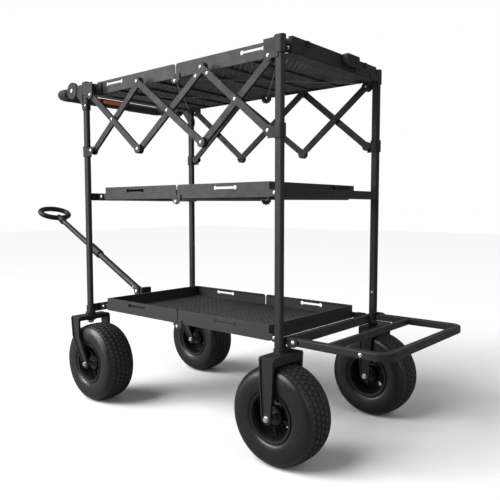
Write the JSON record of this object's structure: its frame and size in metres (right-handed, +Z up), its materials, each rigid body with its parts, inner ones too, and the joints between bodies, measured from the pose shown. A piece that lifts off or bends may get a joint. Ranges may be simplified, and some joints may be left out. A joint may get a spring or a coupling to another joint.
{
  "type": "game cart",
  "caption": "Folding three-tier game cart with scissor sides, hinged trays, balloon wheels, pull and push handles and a tailgate.",
  "frame": {"origin": "on the floor, under the middle of the whole object's bounding box", "axes": "+X from the pull handle towards the tailgate, +Y towards the cart's right side, +Z up"},
  "size_m": [1.8294, 0.6304, 1.101],
  "materials": {
    "frame_steel": "fine matte black powder coat",
    "tray_steel": "fine matte black powder coat on perforated sheet",
    "zinc": "bright zinc plate",
    "tyre": "black rubber, smooth sidewall and blocked tread",
    "rim": "satin black moulded rim",
    "black_plastic": "fine textured black moulding",
    "foam": "dull black foam sleeve",
    "orange_plastic": "glossy orange moulding"
  },
  "bodies": {
    "front_frame": {"front_left_post": "frame_steel", "front_right_post": "frame_steel", "front_crossbars": "frame_steel", "front_top_beam": "frame_steel", "front_top_brackets": "frame_steel", "front_frame_rivets": "zinc", "front_post_caps": "black_plastic", "front_tray_lugs": "frame_steel", "caster_sockets": "frame_steel", "pull_clevis": "frame_steel", "push_discs": "frame_steel"},
    "rear_frame": {"rear_left_post": "frame_steel", "rear_right_post": "frame_steel", "rear_crossbars": "frame_steel", "rear_top_beam": "frame_steel", "rear_top_brackets": "frame_steel", "rear_frame_rivets": "zinc", "rear_post_caps": "black_plastic", "rear_tray_lugs": "frame_steel", "rear_left_fork": "frame_steel", "rear_right_fork": "frame_steel", "rear_axle_bolts": "zinc", "tailgate_brackets": "frame_steel", "top_latch": "black_plastic"},
    "bottom_front_half": {"bottom_tray_front": "tray_steel"},
    "bottom_rear_half": {"bottom_tray_rear": "tray_steel"},
    "middle_front_half": {"middle_tray_front": "tray_steel"},
    "middle_rear_half": {"middle_tray_rear": "tray_steel", "middle_latch": "black_plastic"},
    "top_front_half": {"top_tray_front": "tray_steel"},
    "top_rear_half": {"top_tray_rear": "tray_steel"},
    "front_hangers": {"front_hanger_links": "frame_steel"},
    "front_risers": {"front_slider_links": "frame_steel"},
    "front_crossers": {"front_middle_links": "frame_steel"},
    "front_slides": {"front_sliders": "black_plastic"},
    "rear_hangers": {"rear_hanger_links": "frame_steel"},
    "rear_risers": {"rear_slider_links": "frame_steel"},
    "rear_crossers": {"rear_middle_links": "frame_steel"},
    "rear_slides": {"rear_sliders": "black_plastic"},
    "left_caster": {"front_left_fork": "frame_steel", "front_left_fork_bolts": "zinc"},
    "right_caster": {"front_right_fork": "frame_steel", "front_right_fork_bolts": "zinc"},
    "front_left_wheel": {"front_left_tyre": "tyre", "front_left_rim": "rim"},
    "front_right_wheel": {"front_right_tyre": "tyre", "front_right_rim": "rim"},
    "rear_left_wheel": {"rear_left_tyre": "tyre", "rear_left_rim": "rim"},
    "rear_right_wheel": {"rear_right_tyre": "tyre", "rear_right_rim": "rim"},
    "pull_handle": {"pull_outer_tube": "frame_steel", "pull_collar": "black_plastic"},
    "pull_extension": {"pull_inner_tube": "frame_steel", "pull_grip": "black_plastic"},
    "push_handle": {"push_bar": "frame_steel", "push_grip": "foam", "release_housing": "black_plastic"},
    "release": {"release_button": "orange_plastic"},
    "gate": {"tailgate": "frame_steel"}
  },
  "joints": [
    {"name": "fold", "type": "hinge", "parent": "front_frame", "child": "bottom_front_half", "pos_m": [-0.18933, 0, 0.317], "axis": [0, -1, 0], "range_deg": [0, 70]},
    {"name": "bottom_middle_pin", "type": "hinge", "parent": "bottom_front_half", "child": "bottom_rear_half", "pos_m": [0.19267, 0, 0.297], "axis": [0, -1, 0], "range_deg": [-140.5, 0.5]},
    {"name": "bottom_rear_pin", "type": "hinge", "parent": "bottom_rear_half", "child": "rear_frame", "pos_m": [0.57467, 0, 0.317], "axis": [0, -1, 0], "range_deg": [-0.5, 70.5]},
    {"name": "middle_front_pin", "type": "hinge", "parent": "front_frame", "child": "middle_front_half", "pos_m": [-0.18933, 0, 0.702], "axis": [0, -1, 0], "range_deg": [-0.5, 70.5]},
    {"name": "middle_rear_pin", "type": "hinge", "parent": "rear_frame", "child": "middle_rear_half", "pos_m": [0.57467, 0, 0.702], "axis": [0, -1, 0], "range_deg": [-70.5, 0.5]},
    {"name": "top_front_pin", "type": "hinge", "parent": "front_frame", "child": "top_front_half", "pos_m": [-0.18933, 0, 1.063], "axis": [0, -1, 0], "range_deg": [-0.5, 70.5]},
    {"name": "top_rear_pin", "type": "hinge", "parent": "rear_frame", "child": "top_rear_half", "pos_m": [0.57467, 0, 1.063], "axis": [0, -1, 0], "range_deg": [-70.5, 0.5]},
    {"name": "front_hanger_pivot", "type": "hinge", "parent": "front_frame", "child": "front_hangers", "pos_m": [-0.19483, 0, 1.045], "axis": [0, -1, 0], "range_deg": [-36.58, 0.5]},
    {"name": "front_riser_pivot", "type": "hinge", "parent": "front_hangers", "child": "front_risers", "pos_m": [-0.07894, 0, 0.952], "axis": [0, -1, 0], "range_deg": [-0.5, 72.65]},
    {"name": "front_crosser_pivot", "type": "hinge", "parent": "front_hangers", "child": "front_crossers", "pos_m": [0.05067, 0, 0.848], "axis": [0, -1, 0], "range_deg": [-0.5, 66.02]},
    {"name": "front_slide_pivot", "type": "hinge", "parent": "front_risers", "child": "front_slides", "pos_m": [-0.19483, 0, 0.859], "axis": [0, -1, 0], "range_deg": [-36.58, 0.5]},
    {"name": "rear_hanger_pivot", "type": "hinge", "parent": "rear_frame", "child": "rear_hangers", "pos_m": [0.58017, 0, 1.045], "axis": [0, -1, 0], "range_deg": [-0.5, 36.58]},
    {"name": "rear_riser_pivot", "type": "hinge", "parent": "rear_hangers", "child": "rear_risers", "pos_m": [0.46427, 0, 0.952], "axis": [0, -1, 0], "range_deg": [-72.65, 0.5]},
    {"name": "rear_crosser_pivot", "type": "hinge", "parent": "rear_hangers", "child": "rear_crossers", "pos_m": [0.33467, 0, 0.848], "axis": [0, -1, 0], "range_deg": [-66.02, 0.5]},
    {"name": "rear_slide_pivot", "type": "hinge", "parent": "rear_risers", "child": "rear_slides", "pos_m": [0.58017, 0, 0.859], "axis": [0, -1, 0], "range_deg": [-0.5, 36.58]},
    {"name": "left_caster_swivel", "type": "hinge", "parent": "front_frame", "child": "left_caster", "pos_m": [-0.22733, -0.247, 0.298], "axis": [0, 0, 1], "continuous": true},
    {"name": "front_left_wheel_spin", "type": "hinge", "parent": "left_caster", "child": "front_left_wheel", "pos_m": [-0.17333, -0.247, 0.132], "axis": [0, 1, 0], "continuous": true},
    {"name": "rear_left_wheel_spin", "type": "hinge", "parent": "rear_frame", "child": "rear_left_wheel", "pos_m": [0.62067, -0.247, 0.132], "axis": [0, 1, 0], "continuous": true},
    {"name": "right_caster_swivel", "type": "hinge", "parent": "front_frame", "child": "right_caster", "pos_m": [-0.22733, 0.247, 0.298], "axis": [0, 0, 1], "continuous": true},
    {"name": "front_right_wheel_spin", "type": "hinge", "parent": "right_caster", "child": "front_right_wheel", "pos_m": [-0.17333, 0.247, 0.132], "axis": [0, 1, 0], "continuous": true},
    {"name": "rear_right_wheel_spin", "type": "hinge", "parent": "rear_frame", "child": "rear_right_wheel", "pos_m": [0.62067, 0.247, 0.132], "axis": [0, 1, 0], "continuous": true},
    {"name": "pull_handle_hinge", "type": "hinge", "parent": "front_frame", "child": "pull_handle", "pos_m": [-0.26033, 0, 0.342], "axis": [0, 1, 0], "range_deg": [-46, 60]},
    {"name": "pull_handle_slide", "type": "slide", "parent": "pull_handle", "child": "pull_extension", "axis": [-0.8973, 0, 0.4415], "range_m": [-0.215, 0]},
    {"name": "push_handle_hinge", "type": "hinge", "parent": "front_frame", "child": "push_handle", "pos_m": [-0.30433, 0, 1.072], "axis": [0, 1, 0], "range_deg": [-80, 60]},
    {"name": "release_press", "type": "slide", "parent": "push_handle", "child": "release", "axis": [-1, 0, 0], "range_m": [0, 0.004], "stiffness_N_per_m": 700},
    {"name": "tailgate_hinge", "type": "hinge", "parent": "rear_frame", "child": "gate", "pos_m": [0.65067, 0, 0.319], "axis": [0, -1, 0], "range_deg": [0, 90]}
  ],
  "couplings": [
    {"joint": "bottom_middle_pin", "follows": "fold", "ratio": -2},
    {"joint": "bottom_rear_pin", "follows": "fold", "ratio": 1},
    {"joint": "middle_front_pin", "follows": "fold", "ratio": 1},
    {"joint": "middle_rear_pin", "follows": "fold", "ratio": -1},
    {"joint": "top_front_pin", "follows": "fold", "ratio": 1},
    {"joint": "top_rear_pin", "follows": "fold", "ratio": -1},
    {"joint": "front_hanger_pivot", "follows": "fold", "ratio": -0.51536},
    {"joint": "front_riser_pivot", "follows": "fold", "ratio": 1.0307},
    {"joint": "front_crosser_pivot", "follows": "fold", "ratio": 0.93604},
    {"joint": "front_slide_pivot", "follows": "fold", "ratio": -0.51536},
    {"joint": "rear_hanger_pivot", "follows": "fold", "ratio": 0.51536},
    {"joint": "rear_riser_pivot", "follows": "fold", "ratio": -1.0307},
    {"joint": "rear_crosser_pivot", "follows": "fold", "ratio": -0.93604},
    {"joint": "rear_slide_pivot", "follows": "fold", "ratio": 0.51536}
  ]
}
